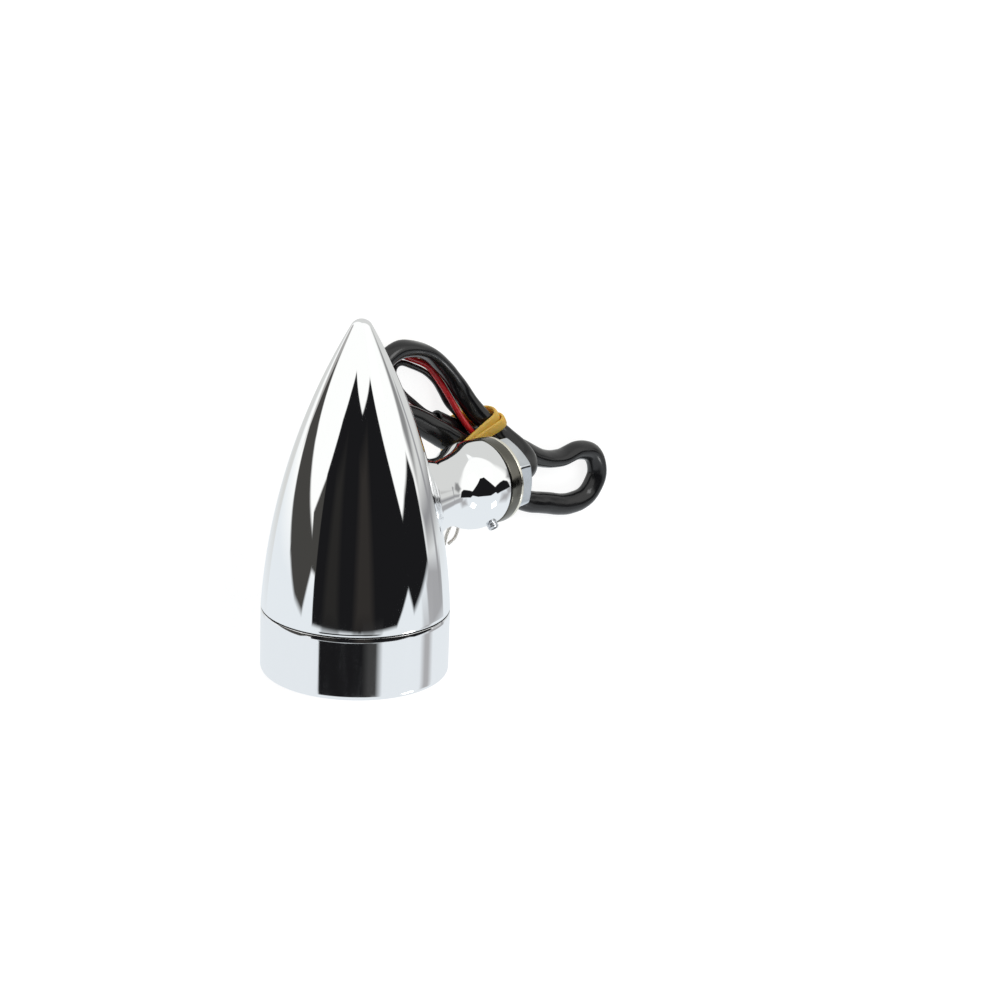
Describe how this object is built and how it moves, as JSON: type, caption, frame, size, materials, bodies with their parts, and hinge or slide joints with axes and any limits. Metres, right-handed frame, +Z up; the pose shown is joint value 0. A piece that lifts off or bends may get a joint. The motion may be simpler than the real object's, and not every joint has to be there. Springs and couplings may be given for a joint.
{
  "type": "turn signal indicator",
  "caption": "Chrome bullet-shaped motorcycle turn signal on a domed stem with a hollow threaded stud, nut, bayonet bulb and a banded hank of sleeved cable.",
  "frame": {"origin": "centre of the collar's outer seat face, on the stud's axis", "axes": "+X outward along the stud, +Y along the bullet toward its pointed tip, +Z up, across both"},
  "size_m": [0.1306, 0.0859, 0.0451],
  "materials": {
    "amber_lens": "transparent amber acrylic",
    "band": "translucent amber rubber",
    "black_pvc": "glossy soft black PVC",
    "brass": "bright brass",
    "bulb_glass": "clear glass",
    "chrome": "mirror-polished chrome plate",
    "dark_steel": "dark olive-grey plated steel, polished",
    "mirror_steel": "bright vacuum-metallised",
    "phenolic": "brown phenolic board",
    "red_pvc": "glossy red PVC",
    "rubber": "matt black rubber",
    "spring": "plated spring wire",
    "tin_steel": "tin-plated steel",
    "tinned": "tinned copper",
    "tungsten": "dull grey wire",
    "vitrite": "black glass insulator",
    "washer": "bright plated steel, warm",
    "yellow_pvc": "glossy yellow PVC",
    "zinc": "bright zinc plate with a blue tint"
  },
  "bodies": {
    "mount": {"mount_stud": "dark_steel", "cable_grommet": "rubber", "cable_sleeve": "black_pvc", "wire_red": "red_pvc", "wire_yellow": "yellow_pvc", "wire_black": "black_pvc", "wire_ends": "tinned", "rubber_band": "band"},
    "washer": {"flat_washer": "washer"},
    "nut": {"mount_nut": "zinc"},
    "lamp": {"stem_arm": "chrome", "stem_gasket": "rubber", "stem_bolt": "zinc", "stem_lock_washer": "zinc", "bullet_housing": "chrome", "reflector": "mirror_steel", "socket_shell": "tin_steel", "socket_rivets": "brass", "socket_cap": "phenolic", "contact_spring": "spring", "lead_red": "red_pvc", "lead_yellow": "yellow_pvc", "lead_black": "black_pvc"},
    "lens": {"lens": "amber_lens", "lens_gasket": "rubber"},
    "bezel": {"bezel_ring": "chrome"},
    "set_screw": {"set_screw": "zinc"},
    "contact_carrier": {"contact_plate": "phenolic", "contact_tips": "brass"},
    "bulb": {"bulb_base": "brass", "bulb_glass": "bulb_glass", "bulb_stem": "bulb_glass", "bulb_insulator": "vitrite", "bulb_tips": "tinned", "bulb_pins": "brass", "filament_turn": "tungsten", "filament_run": "tungsten", "filament_posts": "tungsten"}
  },
  "joints": [
    {"name": "stem_swivel", "type": "hinge", "parent": "mount", "child": "lamp", "pos_m": [0, 0, 0], "axis": [1, 0, 0], "range_deg": [-90, 90]},
    {"name": "washer_slide", "type": "slide", "parent": "mount", "child": "washer", "axis": [1, 0, 0], "range_m": [0, 0.0034]},
    {"name": "nut_turn", "type": "hinge", "parent": "washer", "child": "nut", "pos_m": [0, 0, 0], "axis": [1, 0, 0], "range_deg": [0, 979.2]},
    {"name": "lens_slide", "type": "slide", "parent": "lamp", "child": "lens", "axis": [0, -1, 0], "range_m": [0, 0.0081]},
    {"name": "bezel_turn", "type": "hinge", "parent": "lens", "child": "bezel", "pos_m": [-0.0445, 0, 0], "axis": [0, -1, 0], "range_deg": [0, 1944]},
    {"name": "set_screw_travel", "type": "slide", "parent": "lamp", "child": "set_screw", "axis": [0, -0.766, 0.6428], "range_m": [0, 0.0015]},
    {"name": "plate_push", "type": "slide", "parent": "lamp", "child": "contact_carrier", "axis": [0, 1, 0], "range_m": [0, 0.0025], "stiffness_N_per_m": 400, "springref_m": -0.004, "deforming": ["contact_spring"]},
    {"name": "bulb_turn", "type": "hinge", "parent": "contact_carrier", "child": "bulb", "pos_m": [-0.0445, 0, 0], "axis": [0, -1, 0], "range_deg": [0, 25]}
  ],
  "couplings": [
    {"joint": "nut_turn", "follows": "washer_slide", "rad_per_m": 5026.5},
    {"joint": "bezel_turn", "follows": "lens_slide", "rad_per_m": 4188.8}
  ]
}
